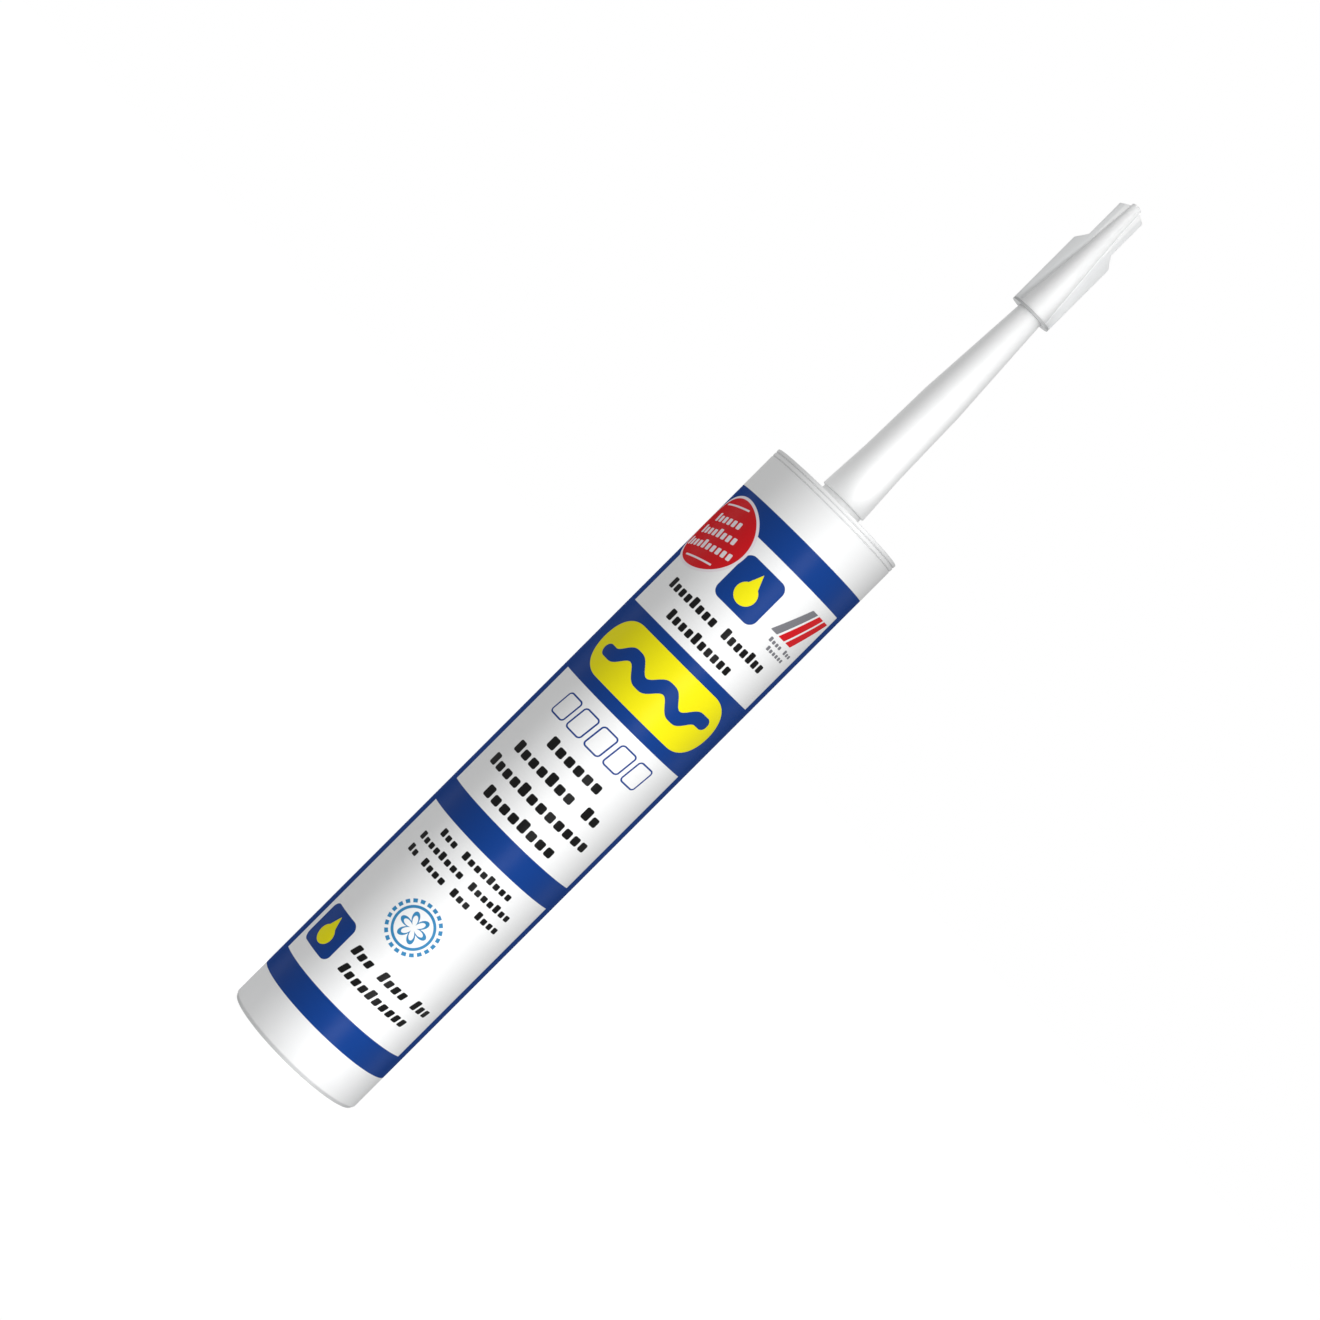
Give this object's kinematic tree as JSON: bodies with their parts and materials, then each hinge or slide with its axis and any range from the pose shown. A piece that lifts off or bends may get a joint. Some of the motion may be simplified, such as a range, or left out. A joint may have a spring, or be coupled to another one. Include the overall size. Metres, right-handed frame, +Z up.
{
  "type": "caulk tube",
  "caption": "Round plastic sealant cartridge with a sliding piston, a screw-on tapered nozzle and a winged pull-off cap.",
  "frame": {"origin": "centre of the open base rim, on the surface that the tube stands on", "axes": "+Z up the barrel to the nozzle, -Y towards the printed front, X along the cap's two wings"},
  "size_m": [0.05, 0.05, 0.3618],
  "materials": {
    "barrel_plastic": "satin white polyethylene, printed outside",
    "piston_plastic": "natural polyethylene",
    "sealant": "smooth white paste",
    "nozzle_plastic": "satin white polyethylene",
    "cap_plastic": "milky translucent polyethylene"
  },
  "bodies": {
    "barrel": {"barrel": "barrel_plastic", "sealant_fill": "sealant"},
    "piston": {"piston": "piston_plastic"},
    "nozzle": {"nozzle": "nozzle_plastic"},
    "nozzle_cap": {"nozzle_cap": "cap_plastic"}
  },
  "joints": [
    {"name": "piston_slide", "type": "slide", "parent": "barrel", "child": "piston", "axis": [0, 0, 1], "range_m": [0, 0.173], "deforming": ["sealant_fill"]},
    {"name": "nozzle_lift", "type": "slide", "parent": "barrel", "child": "nozzle", "axis": [0, 0, 1], "range_m": [0, 0.03]},
    {"name": "cap_pull", "type": "slide", "parent": "nozzle", "child": "nozzle_cap", "axis": [0, 0, 1], "range_m": [0, 0.04]}
  ]
}
